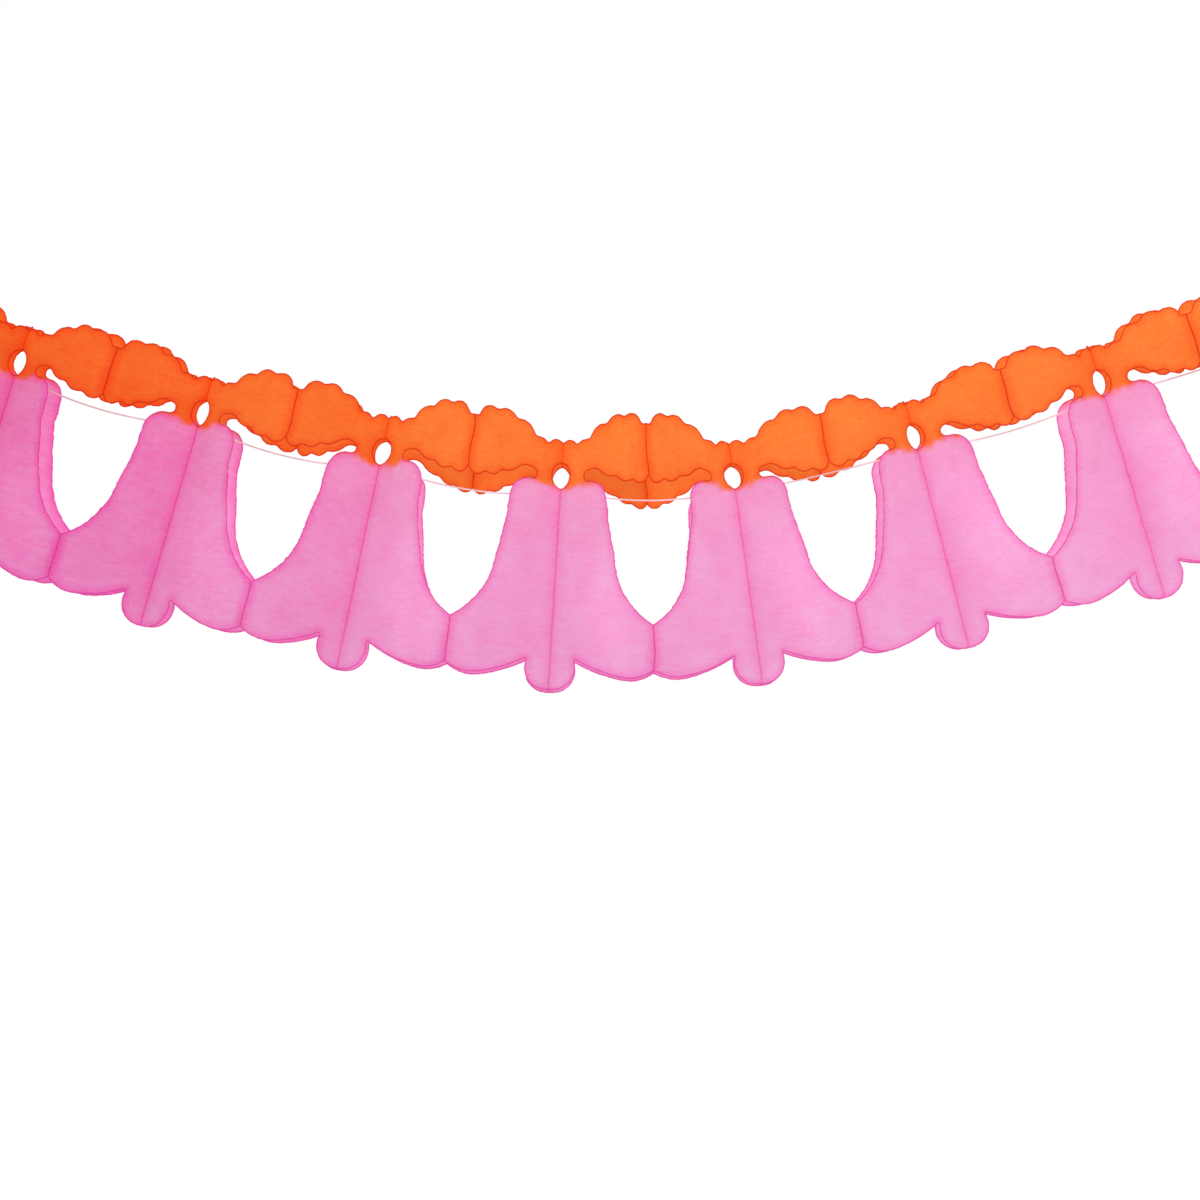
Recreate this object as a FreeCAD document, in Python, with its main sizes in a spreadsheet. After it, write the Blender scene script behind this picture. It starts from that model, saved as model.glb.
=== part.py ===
"""Paper bell garland: die-cut tissue sheets glued into an open honeycomb on a thread.

Millimetres, +Z up, the row of bells runs along X and its front faces -Y.
The origin is the middle of the left hanging loop.
"""
import FreeCAD, Part
import math
import os
from FreeCAD import Base, Placement, Rotation, Vector

SIZES = {
    # the sheet, cut flat: "out" is across from its centre line, "up" from the middle of its eye
    "paper_thickness": 0.3,
    "glue_gap": 0.1,
    "strip_half_width": 6.8,
    "half_width": 73.8,
    "seam_flange": 1.6,
    "eye_half_width": 13.5,
    "eye_half_height": 9.0,
    "eye_rise": 1.3,
    # upper edge of the flap
    "strip_crown": 24.5,
    "fold_top": 22.0,
    "bump_rise": 2.8,
    "notch_out": 17.7,
    "notch_up": 19.7,
    "step_width": 3.4,
    "step_length": 6.8,
    "step_up": 22.6,
    "lobe_rise": 3.3,
    "outer_lobe_rise": 4.1,
    "valley_inner_up": 29.8,
    "valley_outer_up": 32.2,
    "corner_up": 26.3,
    "corner_inset": 3.6,
    "seam_top": 26.4,
    # lower edge of the flap and the slot that parts it from the bell
    "seam_foot": -3.6,
    "hem_outer_up": -4.6,
    "hem_inner_up": -1.9,
    "hem_outer_rise": 3.7,
    "hem_middle_rise": 2.7,
    "hem_inner_rise": 1.6,
    "slot_mouth_out": 38.2,
    "slot_mouth_up": 1.4,
    "slot_end_out": 28.5,
    "slot_top_up": 3.0,
    "slot_foot_up": -3.3,
    "slot_crown_rise": 1.4,
    "slot_round_rise": 3.7,
    # the bell
    "shoulder_out": 42.8,
    "shoulder_foot": -17.4,
    "shoulder_rise": 4.7,
    "tuck_up": -24.2,
    "tuck_depth": 0.9,
    "waist_out": 50.2,
    "waist_up": -62.0,
    "flare_sag": 3.7,
    "lip_top": -90.6,
    "lip_foot": -118.4,
    "lip_low_out": 53.5,
    "lip_low_up": -123.4,
    "lip_outer_rise": 2.1,
    "lip_inner_rise": 1.5,
    "clapper_top_out": 22.0,
    "clapper_top_up": -112.4,
    "clapper_side_rise": 2.7,
    "clapper_low_out": 18.5,
    "clapper_low_up": -128.6,
    "clapper_lobe_out": 9.0,
    "clapper_foot": -132.0,
    # a cell that is pulled quite flat keeps this much depth
    "least_cell_depth": 3.0,
    # front edges stand higher than back ones by this angle at the level of the lips
    "lip_lean": 1.5,
    # an arm that flops over does so most at this level, and half as much this far above and below
    "flop_peak_up": -28.0,
    "flop_half_reach": 38.0,
    # end cards, thread and knots
    "card_thickness": 0.5,
    "card_hole_radius": 1.2,
    "thread_diameter": 1.0,
    "thread_clearance": 0.1,
    "loop_to_card": 46.0,
    "loop_slope": 20.0,
    "whipping_start": 8.4,
    "whipping_pitch": 0.8,
    "stop_knot_thickness": 1.2,
}

# one value for each cell from left to right, in degrees
CELL_SLOPES = [16.9, 15.5, 12.4, 8.0, -0.2, -12.6, -16.3, -17.0]
CELL_OPENINGS = [27.8, 28.8, 31.9, 33.4, 37.3, 31.5, 26.4, 26.6]
CELL_LEANS = [-1.5, -1.0, 3.0, 9.8, 12.5, 4.0, 0.0, -1.5]
# one value for each centre fold, in degrees: how far the bell's foot swings to the left
BELL_TILTS = [17.2, 17.2, 16.3, 11.9, 3.5, -8.0, -14.7, -16.8, -17.2]
BELL_STRETCHES = [1.0, 1.03, 1.03, 1.03, 0.995, 0.975, 1.015, 1.045, 1.0]
BELL_LEANS = [0.0, -3.0, -0.5, 5.0, 9.0, 5.5, 0.0, -3.0, 0.0]
# how far a bell is turned, its back towards the middle of the row
BELL_TURNS = [0.0, 5.0, 6.0, 4.0, 1.0, -3.0, -6.0, -5.0, 0.0]
# how far, in millimetres, the arms on a leaning bell's upper side bow out under their own weight
BELL_FLOPS = [11.0, 12.0, 9.5, 4.0, 0.0, 0.0, 7.0, 11.0, 11.0]

# thread below the straight line from eye to eye, at a quarter, half and three quarters of each cell
THREAD_SAGS = [
    (3.0, 4.0, 2.8), (5.0, 6.6, 4.6), (4.8, 6.8, 5.3), (5.0, 6.9, 5.6),
    (4.2, 6.1, 4.6), (2.4, 2.0, 1.2), (3.6, 5.2, 3.4), (2.0, 2.1, 1.5),
]
# at the eye of each inner bell, so that the bend of the thread rests in the foot of the eye
THREAD_LIFTS = [1.0, 1.15, 1.3, 0.95, 0.3, 0.5, 0.75]
# one hanging loop, from its tail to the thread: (towards the bells, up), from the loop's middle
LOOP_ROUTE = [
    (12.5, 0.6), (6.5, 0.6), (2.5, 5.2), (-3.6, 5.4), (-7.2, 0.2),
    (-3.6, -5.3), (2.5, -5.1), (6.5, -0.6), (13.0, -0.6), (24.0, -0.4), (35.0, 0.3),
]

FRONT = -1
BACK = 1

doc = FreeCAD.newDocument("PaperBellGarland")
dimensions = doc.addObject("Spreadsheet::Sheet", "Dimensions")


def write_row(row, alias, value):
    dimensions.set(f"A{row}", alias)
    dimensions.set(f"B{row}", str(value))
    dimensions.setAlias(f"B{row}", alias)


def write_dimensions():
    """Sizes first, then the angles of each cell and of each bell."""
    angles = {}
    for cell, values in enumerate(zip(CELL_SLOPES, CELL_OPENINGS, CELL_LEANS), start=1):
        for name, value in zip(("slope", "opening", "lean"), values):
            angles[f"cell_{cell}_{name}"] = value
    bells = zip(BELL_TILTS, BELL_STRETCHES, BELL_LEANS, BELL_TURNS, BELL_FLOPS)
    for bell, values in enumerate(bells):
        for name, value in zip(("tilt", "stretch", "lean", "turn", "flop"), values):
            angles[f"bell_{bell}_{name}"] = value
    for row, (alias, value) in enumerate({**SIZES, **angles}.items(), start=1):
        write_row(row, alias, value)
    doc.recompute()


def size(alias):
    return float(dimensions.get(alias))


def angle(alias):
    return math.radians(size(alias))


write_dimensions()

CELLS = len(CELL_SLOPES)
FOLD = size("strip_half_width")
SEAM = size("half_width")
ARM = SEAM - FOLD
HALF_PAPER = size("paper_thickness") / 2
HALF_PAIR = (size("paper_thickness") + size("glue_gap")) / 2


# ---- outline of the flat sheet ------------------------------------------------------

def bulged(start, end, rise):
    """Arc from start to end that stands `rise` proud of its chord, to the left of it."""
    chord = (end[0] - start[0], end[1] - start[1])
    length = math.hypot(*chord)
    middle = ((start[0] + end[0]) / 2, (start[1] + end[1]) / 2)
    via = (middle[0] - chord[1] / length * rise, middle[1] + chord[0] / length * rise)
    return start, via, end


def straight(start, end):
    return start, None, end


def eye_level(out, sign):
    """Upper (sign 1) or lower (sign -1) edge of the eye at a distance from the centre line."""
    share = math.sqrt(1 - (out / size("eye_half_width")) ** 2)
    return size("eye_rise") + sign * size("eye_half_height") * share


def clapper_level(out):
    """Lower edge of a half of the clapper: one arc, lowest a little way out from the fold."""
    drop = size("clapper_low_up") - size("clapper_foot")
    reach = size("clapper_low_out") - size("clapper_lobe_out")
    radius = (reach ** 2 + drop ** 2) / (2 * drop)
    return size("clapper_foot") + radius - math.sqrt(radius ** 2 - (out - size("clapper_lobe_out")) ** 2)


def flap_top():
    """Scalloped upper edge, from the centre fold out to the seam."""
    fold_top = (FOLD, size("fold_top"))
    notch = (size("notch_out"), size("notch_up"))
    step_start = (notch[0] + size("step_width"), size("step_up"))
    step_end = (step_start[0] + size("step_length"), size("step_up"))
    corner = (SEAM - size("corner_inset"), size("corner_up"))
    lobe_width = (corner[0] - step_end[0]) / 3
    valleys = [
        step_end,
        (step_end[0] + lobe_width, size("valley_inner_up")),
        (step_end[0] + 2 * lobe_width, size("valley_outer_up")),
        corner,
    ]
    edge = [bulged(fold_top, notch, size("bump_rise"))]
    edge.append(straight(notch, step_start))
    edge.append(straight(step_start, step_end))
    rises = [size("lobe_rise"), size("lobe_rise"), size("outer_lobe_rise")]
    edge += [bulged(*ends) for ends in zip(valleys, valleys[1:], rises)]
    edge.append(straight(corner, (SEAM, size("seam_top"))))
    return edge


def flap_hem_and_slot():
    """Scalloped lower edge of the flap, from the seam in to the round end of the slot."""
    mouth = (size("slot_mouth_out"), size("slot_mouth_up"))
    hem_width = (SEAM - mouth[0]) / 3
    valleys = [
        (SEAM, size("seam_foot")),
        (SEAM - hem_width, size("hem_outer_up")),
        (SEAM - 2 * hem_width, size("hem_inner_up")),
        mouth,
    ]
    rises = [size("hem_outer_rise"), size("hem_middle_rise"), size("hem_inner_rise")]
    slot_top = (size("slot_end_out"), size("slot_top_up"))
    slot_foot = (size("slot_end_out"), size("slot_foot_up"))
    edge = [bulged(*ends) for ends in zip(valleys, valleys[1:], rises)]
    edge.append(bulged(mouth, slot_top, -size("slot_crown_rise")))
    edge.append(bulged(slot_top, slot_foot, -size("slot_round_rise")))
    return edge


def bell_side():
    """Shoulder, side and flare of the bell, from the slot out to the seam of the lip."""
    slot_foot = (size("slot_end_out"), size("slot_foot_up"))
    shoulder = (size("shoulder_out"), size("shoulder_foot"))
    tuck = (shoulder[0] + size("tuck_depth"), size("tuck_up"))
    tucked = (shoulder[0], tuck[1] - size("tuck_depth"))
    waist = (size("waist_out"), size("waist_up"))
    return [
        bulged(slot_foot, shoulder, size("shoulder_rise")),
        straight(shoulder, tuck),
        straight(tuck, tucked),
        straight(tucked, waist),
        bulged(waist, (SEAM, size("lip_top")), -size("flare_sag")),
    ]


def lip_and_clapper():
    """Lower edge, from the seam of the lip in to the centre fold."""
    lowest = (size("lip_low_out"), size("lip_low_up"))
    notch = (size("clapper_top_out"), size("clapper_top_up"))
    low = (size("clapper_low_out"), size("clapper_low_up"))
    inner = (low[0] + FOLD) / 2
    return [
        bulged((SEAM, size("lip_foot")), lowest, size("lip_outer_rise")),
        bulged(lowest, notch, size("lip_inner_rise")),
        bulged(notch, low, size("clapper_side_rise")),
        (low, (inner, clapper_level(inner)), (FOLD, clapper_level(FOLD))),
    ]


def eye_bite():
    """The part of the eye that is cut out of an arm."""
    return (
        (FOLD, eye_level(FOLD, -1)),
        (size("eye_half_width"), size("eye_rise")),
        (FOLD, eye_level(FOLD, 1)),
    )


def strip_edges():
    """Upper and lower patch of the centre strip: (free edges, fold ends) of each."""
    crown = ((-FOLD, size("fold_top")), (0, size("strip_crown")), (FOLD, size("fold_top")))
    eye_top = ((-FOLD, eye_level(FOLD, 1)), (0, eye_level(0, 1)), (FOLD, eye_level(FOLD, 1)))
    eye_foot = ((-FOLD, eye_level(FOLD, -1)), (0, eye_level(0, -1)), (FOLD, eye_level(FOLD, -1)))
    clapper = ((-FOLD, clapper_level(FOLD)), (0, size("clapper_foot")), (FOLD, clapper_level(FOLD)))
    return [(crown, eye_top), (eye_foot, clapper)]


# ---- where the folds and seams lie ----------------------------------------------------

def facing(normal, reference):
    """Unit normal turned to the same side as the reference."""
    unit = normal.normalize()
    return unit if unit.dot(reference) > 0 else unit * -1


def upward(bell):
    """Direction of a bell's centre fold, from its clapper to its top."""
    tilt = angle(f"bell_{bell}_tilt")
    return Vector(math.sin(tilt), 0, math.cos(tilt))


def strip_directions(bell):
    """Directions square to a bell's centre strip and along it from front to back."""
    tilt = angle(f"bell_{bell}_tilt")
    turn = angle(f"bell_{bell}_turn")
    level = Vector(math.cos(tilt), 0, -math.sin(tilt))
    across = level * math.cos(turn) - Vector(0, math.sin(turn), 0)
    backward = level * math.sin(turn) + Vector(0, math.cos(turn), 0)
    return across, backward


def thread_level(bell):
    """Where the thread rests above the foot of a bell's eye, from the middle of the sheet's eye."""
    foot = (size("eye_rise") - size("eye_half_height")) * size(f"bell_{bell}_stretch")
    return foot + size("thread_diameter") / 2 + size("thread_clearance")


def eye_centres():
    """Middle of each eye, laid out from the left hanging loop."""
    slope = angle("loop_slope")
    card_hole = Vector(math.cos(slope), 0, -math.sin(slope)) * size("loop_to_card")
    centres = [card_hole - upward(0) * thread_level(0)]
    for cell in range(1, CELLS + 1):
        slope = angle(f"cell_{cell}_slope")
        fan = (angle(f"bell_{cell - 1}_tilt") - angle(f"bell_{cell}_tilt")) / 2
        pitch = 2 * ARM * math.cos(angle(f"cell_{cell}_opening")) * math.cos(fan) + 2 * HALF_PAIR
        centres.append(centres[-1] + Vector(math.cos(slope), 0, -math.sin(slope)) * pitch)
    return centres


EYES = eye_centres()


def lean(top_lean, level):
    """Lean of a fold or seam at a level: its own at the flap, the common one at the lips."""
    share = (size("seam_top") - level) / (size("seam_top") - size("lip_foot"))
    return top_lean + (angle("lip_lean") - top_lean) * share


def strip_fold(bell, hand, side, level):
    """Fold between strip and arm of the sheet on one hand of a bell (-1 left, 1 right)."""
    across, backward = strip_directions(bell)
    rise = level * size(f"bell_{bell}_stretch") - side * FOLD * math.tan(angle(f"bell_{bell}_lean"))
    return EYES[bell] + upward(bell) * rise + across * (hand * HALF_PAIR) + backward * (side * FOLD)


def seam(cell, side, level):
    """Line on which both sheets of a cell are glued together along their outer edges.

    An arm that left its centre fold squarely would meet the seam lower than the straight
    line between two folds that spread towards their feet; the tissue gives half of that.
    """
    left = strip_fold(cell - 1, 1, side, level)
    right = strip_fold(cell, -1, side, level)
    fan = (angle(f"bell_{cell - 1}_tilt") - angle(f"bell_{cell}_tilt")) / 2
    half_gap = (right - left).Length / 2
    reach = half_gap / math.cos(fan)
    depth = math.sqrt(max(ARM ** 2 - reach ** 2, size("least_cell_depth") ** 2))
    lift = depth * math.tan(lean(angle(f"cell_{cell}_lean"), level))
    chord = (right - left).normalize()
    sunk = Vector(chord.z, 0, -chord.x) * (half_gap * math.tan(fan) / 2)
    return (left + right) * 0.5 + sunk + Vector(0, side * depth, -side * lift)


def seam_fold(cell, hand, side, level):
    """Fold between arm and flange; hand 1 is the left sheet of the cell, -1 its right one."""
    left = strip_fold(cell - 1, 1, side, level)
    right = strip_fold(cell, -1, side, level)
    return seam(cell, side, level) - (right - left).normalize() * (hand * HALF_PAIR)


def flop_share(level):
    """Share of its flop that an arm has at a level: all of it under the shoulder of the bell."""
    return 1 / (1 + ((level - size("flop_peak_up")) / size("flop_half_reach")) ** 2)


def flops(cell, hand):
    """Whether the arms of a sheet flop: they are on the upper side of a bell that leans."""
    bell = cell - 1 if hand > 0 else cell
    return hand * size(f"bell_{bell}_tilt") > 0 and size(f"bell_{bell}_flop") > 0


def arm_pole(cell, hand, side, level):
    """Middle pole of the bow of an arm that flops, between its fold and its seam."""
    bell = cell - 1 if hand > 0 else cell
    fold = strip_fold(bell, hand, side, level)
    glued = seam_fold(cell, hand, side, level)
    from_cell = Vector(0, side, 0) - strip_directions(bell)[0] * hand
    outward = facing((glued - fold).cross(upward(bell)), from_cell)
    return (fold + glued) * 0.5 + outward * (2 * size(f"bell_{bell}_flop") * flop_share(level))


def flange_edge(cell, hand, side, level):
    lift = math.tan(lean(angle(f"cell_{cell}_lean"), level))
    outward = Vector(0, side, -side * lift).normalize()
    return seam_fold(cell, hand, side, level) + outward * size("seam_flange")


# ---- one folded sheet --------------------------------------------------------------

MARGIN = 3.0
LEVEL_STEPS = 8
SEWING_TOLERANCE = 0.01
TOP_LEVEL = size("valley_outer_up") + size("lobe_rise") + MARGIN
LOW_LEVEL = size("clapper_foot") - MARGIN
LEVELS = [LOW_LEVEL + (TOP_LEVEL - LOW_LEVEL) * i / LEVEL_STEPS for i in range(LEVEL_STEPS + 1)]


def mitred(first, second):
    """Offset of a fold line for unit thickness, between two panels with these normals."""
    return (first + second) * (1 / (1 + first.dot(second)))


def skin(rows, out_inner, out_outer):
    """Surface between two rows of points, bowed by a third between them; its parameters are (out, up)."""
    curves = []
    for points in rows:
        curve = Part.BSplineCurve()
        curve.interpolate(Points=points, Parameters=LEVELS)
        curves.append(curve)
    surface = Part.BSplineSurface()
    surface.buildFromPolesMultsKnots(
        [curve.getPoles() for curve in curves], [len(rows)] * 2, curves[0].getMultiplicities(),
        [out_inner, out_outer], curves[0].getKnots(), False, False, len(rows) - 1, curves[0].Degree)
    return surface


def flat_curve(piece):
    """Two-dimensional line or arc of the outline."""
    start, via, end = (None if p is None else Base.Vector2d(*p) for p in piece)
    if via is None:
        return Part.Geom2d.Line2dSegment(start, end)
    return Part.Geom2d.ArcOfCircle2d(start, via, end)


def panel(skins, free, folds):
    """Faces of one panel: its two skins, and a wall along each free edge."""
    faces = []
    for surface in skins:
        edges = [flat_curve(piece).toShape(surface) for piece in free + folds]
        face = Part.Face(surface, Part.Wire(Part.__sortEdges__(edges)))
        face.validate()
        faces.append(face)
    for piece in free:
        rims = [flat_curve(piece).toShape(surface) for surface in skins]
        faces.append(Part.makeRuledSurface(*rims))
    return faces


def sheet_lines(cell, hand):
    """Mid-surface fold lines of a sheet and the panel normals beside them, for each level."""
    bell = cell - 1 if hand > 0 else cell
    inward = strip_directions(bell)[0] * hand
    lines = []
    for level in LEVELS:
        front_fold = strip_fold(bell, hand, FRONT, level)
        back_fold = strip_fold(bell, hand, BACK, level)
        rows = {"strip": facing((back_fold - front_fold).cross(upward(bell)), inward)}
        for side in (FRONT, BACK):
            fold = strip_fold(bell, hand, side, level)
            glued = seam_fold(cell, hand, side, level)
            rising = seam_fold(cell, hand, side, level + 1) - glued
            edge = flange_edge(cell, hand, side, level)
            pole = arm_pole(cell, hand, side, level) if flops(cell, hand) else (fold + glued) * 0.5
            to_middle = inward - Vector(0, side, 0)
            rows[side] = {
                "fold": fold,
                "pole": pole,
                "glued": glued,
                "edge": edge,
                "arm_at_fold": facing((pole - fold).cross(upward(bell)), to_middle),
                "arm_at_seam": facing((glued - pole).cross(rising), to_middle),
                "flange": facing((edge - glued).cross(rising), inward),
            }
        lines.append(rows)
    return lines


def arm_faces(lines, side, bowed, to_local):
    """Arm and flanges of a sheet on its front or back side."""
    skins = []
    flange_skins = []
    for offset in (HALF_PAPER, -HALF_PAPER):
        fold_line = []
        pole_line = []
        seam_line = []
        edge_line = []
        for rows in lines:
            row = rows[side]
            fold_line.append(to_local(row["fold"] + mitred(rows["strip"], row["arm_at_fold"]) * offset))
            pole_line.append(to_local(row["pole"] + mitred(row["arm_at_fold"], row["arm_at_seam"]) * offset))
            seam_line.append(to_local(row["glued"] + mitred(row["arm_at_seam"], row["flange"]) * offset))
            edge_line.append(to_local(row["edge"] + row["flange"] * offset))
        arm_rows = [fold_line, pole_line, seam_line] if bowed else [fold_line, seam_line]
        skins.append(skin(arm_rows, FOLD, SEAM))
        flange_skins.append(skin([seam_line, edge_line], SEAM, SEAM + size("seam_flange")))
    free = flap_top() + flap_hem_and_slot() + bell_side() + lip_and_clapper() + [eye_bite()]
    folds = [
        straight((SEAM, size("seam_top")), (SEAM, size("seam_foot"))),
        straight((SEAM, size("lip_top")), (SEAM, size("lip_foot"))),
        straight((FOLD, clapper_level(FOLD)), (FOLD, eye_level(FOLD, -1))),
        straight((FOLD, eye_level(FOLD, 1)), (FOLD, size("fold_top"))),
    ]
    faces = panel(skins, free, folds)
    for top, foot in (("seam_top", "seam_foot"), ("lip_top", "lip_foot")):
        rim = SEAM + size("seam_flange")
        corners = [(SEAM, size(top)), (rim, size(top)), (rim, size(foot)), (SEAM, size(foot))]
        rims = [straight(*ends) for ends in zip(corners, corners[1:])]
        faces += panel(flange_skins, rims, [straight(corners[3], corners[0])])
    return faces


def strip_faces(lines, to_local):
    """Centre strip of a sheet, parted by the eye into an upper and a lower patch."""
    skins = []
    for offset in (HALF_PAPER, -HALF_PAPER):
        fold_lines = []
        for side in (FRONT, BACK):
            fold_lines.append([
                to_local(rows[side]["fold"] + mitred(rows["strip"], rows[side]["arm_at_fold"]) * offset)
                for rows in lines])
        skins.append(skin(fold_lines, -FOLD, FOLD))
    faces = []
    for upper, lower in strip_edges():
        folds = [straight(lower[0], upper[0]), straight(upper[2], lower[2])]
        faces += panel(skins, [upper, lower], folds)
    return faces


def sheet_placement(bell):
    return Placement(EYES[bell], Rotation(Vector(0, 1, 0), math.degrees(angle(f"bell_{bell}_tilt"))))


def add_sheet(cell, hand, label):
    """Tissue sheet of a cell: hand 1 is the left one, glued on the strip to its left."""
    bell = cell - 1 if hand > 0 else cell
    placement = sheet_placement(bell)
    to_local = placement.inverse().multVec
    lines = sheet_lines(cell, hand)
    faces = strip_faces(lines, to_local)
    for side in (FRONT, BACK):
        faces += arm_faces(lines, side, flops(cell, hand), to_local)
    sewn = Part.Compound(faces)
    sewn.sewShape(SEWING_TOLERANCE)
    feature = doc.addObject("Part::Feature", label)
    feature.Label = label
    feature.Shape = Part.Solid(sewn.Shells[0])
    feature.Placement = placement
    return feature


# ---- end cards ---------------------------------------------------------------------

def upright_edge(piece, side):
    """Edge of the flat outline, stood up in the YZ plane on one side of the centre line."""
    points = [Vector(0, side * point[0], point[1]) for point in piece if point]
    if len(points) == 2:
        return Part.LineSegment(*points).toShape()
    return Part.Arc(*points).toShape()


def card_blank():
    """Whole outline of the sheet as one upright face."""
    half = flap_top() + flap_hem_and_slot() + bell_side() + lip_and_clapper()
    half.append(straight((SEAM, size("seam_top")), (SEAM, size("seam_foot"))))
    half.append(straight((SEAM, size("lip_top")), (SEAM, size("lip_foot"))))
    edges = [upright_edge(piece, side) for piece in half for side in (FRONT, BACK)]
    (crown, _), (_, clapper) = strip_edges()
    edges += [upright_edge(crown, BACK), upright_edge(clapper, BACK)]
    return Part.Face(Part.Wire(Part.__sortEdges__(edges)))


def add_card(bell, hand, label):
    """Card glued to the outermost strip; hand -1 is the left end, 1 the right one."""
    blank = doc.addObject("Part::Feature", f"{label}_blank")
    blank.Shape = card_blank()
    blank.Placement = Placement(Vector(hand * size("glue_gap") / 2, 0, 0), Rotation())
    slab = doc.addObject("Part::Extrusion", f"{label}_slab")
    slab.Base = blank
    slab.DirMode = "Custom"
    slab.Dir = Vector(hand, 0, 0)
    slab.setExpression("LengthFwd", "Dimensions.card_thickness")
    slab.Solid = True
    hole = doc.addObject("Part::Cylinder", f"{label}_hole")
    hole.setExpression("Radius", "Dimensions.card_hole_radius")
    hole.setExpression("Height", "4 * Dimensions.card_thickness + 4 * Dimensions.glue_gap")
    through = -hand * size("card_thickness")
    hole.Placement = Placement(
        Vector(through, 0, thread_level(bell)), Rotation(Vector(0, 0, 1), Vector(hand, 0, 0)))
    card = doc.addObject("Part::Cut", label)
    card.Base = slab
    card.Tool = hole
    card.Label = label
    card.Placement = sheet_placement(bell)
    return card


# ---- thread and its knots ------------------------------------------------------------

def thread_at(bell):
    """Where the thread lies in the foot of an eye."""
    return EYES[bell] + upward(bell) * thread_level(bell)


def loop_frame(hand):
    """Middle of a hanging loop, and the direction from it towards the bells."""
    slope = angle("loop_slope")
    inward = Vector(-hand * math.cos(slope), 0, -math.sin(slope))
    card_hole = thread_at(0 if hand < 0 else CELLS)
    return card_hole - inward * size("loop_to_card"), inward


def loop_points(hand):
    middle, inward = loop_frame(hand)
    rising = Vector(hand * inward.z, 0, -hand * inward.x)
    return [middle + inward * along + rising * up for along, up in LOOP_ROUTE]


def thread_points():
    """Route of the thread from the tail of the left loop to the tail of the right one."""
    points = loop_points(-1) + [thread_at(0)]
    lifts = THREAD_LIFTS + [0.0]
    for cell, sags in enumerate(THREAD_SAGS, start=1):
        start = thread_at(cell - 1)
        end = thread_at(cell)
        for quarter, sag in enumerate(sags, start=1):
            points.append(start + (end - start) * (quarter / 4) - Vector(0, 0, sag))
        points.append(end + Vector(0, 0, lifts[cell - 1]))
    return points + loop_points(1)[::-1]


def rounded_route(points):
    """Straight runs joined by tangent arcs, each as large as its two runs allow."""
    edges = []
    start = points[0]
    radii = []
    for before, corner, after in zip(points, points[1:], points[2:]):
        arriving = (corner - before).normalize()
        leaving = (after - corner).normalize()
        half_turn = arriving.getAngle(leaving) / 2
        reach = 0.45 * min((corner - before).Length, (after - corner).Length)
        radius = reach / math.tan(half_turn)
        radii.append(radius)
        entry = corner - arriving * reach
        leave = corner + leaving * reach
        inside = (leaving - arriving).normalize()
        middle = corner + inside * (radius / math.cos(half_turn) - radius)
        edges.append(Part.LineSegment(start, entry).toShape())
        edges.append(Part.Arc(entry, middle, leave).toShape())
        start = leave
    edges.append(Part.LineSegment(start, points[-1]).toShape())
    return Part.Wire(edges), radii


def add_thread(label):
    points = thread_points()
    wire, radii = rounded_route(points)
    route = doc.addObject("Part::Feature", f"{label}_route")
    route.Shape = wire
    section = doc.addObject("Part::Circle", f"{label}_section")
    section.setExpression("Radius", "Dimensions.thread_diameter / 2")
    section.Placement = Placement(points[0], Rotation(Vector(0, 0, 1), points[1] - points[0]))
    thread = doc.addObject("Part::Sweep", label)
    thread.Sections = [section]
    thread.Spine = (route, [f"Edge{i + 1}" for i in range(len(wire.Edges))])
    thread.Solid = True
    thread.Label = label
    doc.recompute()
    section_area = math.pi * (size("thread_diameter") / 2) ** 2
    runs = [(after - before).Length for before, after in zip(points, points[1:])]
    print("thread radii", [round(radius, 1) for radius in radii])
    print("thread runs", [round(run, 1) for run in runs])
    print("thread length", round(wire.Length, 1), "volume over section times length",
          round(thread.Shape.Volume / (section_area * wire.Length), 4))
    return thread


def add_ring(name, centre, direction, hole_radius):
    """One turn of thread: the radius of its hole follows the threads that it goes round."""
    ring = doc.addObject("Part::Torus", name)
    ring.setExpression("Radius2", "Dimensions.thread_diameter / 2")
    ring.setExpression("Radius1", f"{hole_radius} + Dimensions.thread_diameter / 2")
    ring.Placement = Placement(centre, Rotation(Vector(0, 0, 1), direction))
    return ring


def add_whipping(hand, label):
    """Three turns round both legs of a hanging loop."""
    middle, inward = loop_frame(hand)
    hole_radius = f"({LOOP_ROUTE[0][1]} + Dimensions.thread_diameter / 2 + Dimensions.thread_clearance)"
    turns = []
    for turn in range(3):
        centre = middle + inward * (size("whipping_start") + turn * size("whipping_pitch"))
        turns.append(add_ring(f"{label}_turn_{turn + 1}", centre, inward, hole_radius))
    whipping = doc.addObject("Part::MultiFuse", label)
    whipping.Shapes = turns
    whipping.Label = label
    return whipping


def add_stop_knot(hand, label):
    """Knot on the thread that holds the end card and its strip from sliding inward."""
    bell = 0 if hand < 0 else CELLS
    _, inward = loop_frame(hand)
    knot = doc.addObject("Part::Torus", label)
    knot.setExpression("Radius2", "Dimensions.stop_knot_thickness / 2")
    knot.setExpression(
        "Radius1",
        "(Dimensions.thread_diameter + Dimensions.stop_knot_thickness) / 2 + Dimensions.thread_clearance")
    standoff = 2 * HALF_PAIR + 2 * size("glue_gap") + size("stop_knot_thickness") / 2
    knot.Placement = Placement(
        thread_at(bell) + inward * standoff, Rotation(Vector(0, 0, 1), inward))
    knot.Label = label
    return knot


# ---- the garland ----------------------------------------------------------------------

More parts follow.
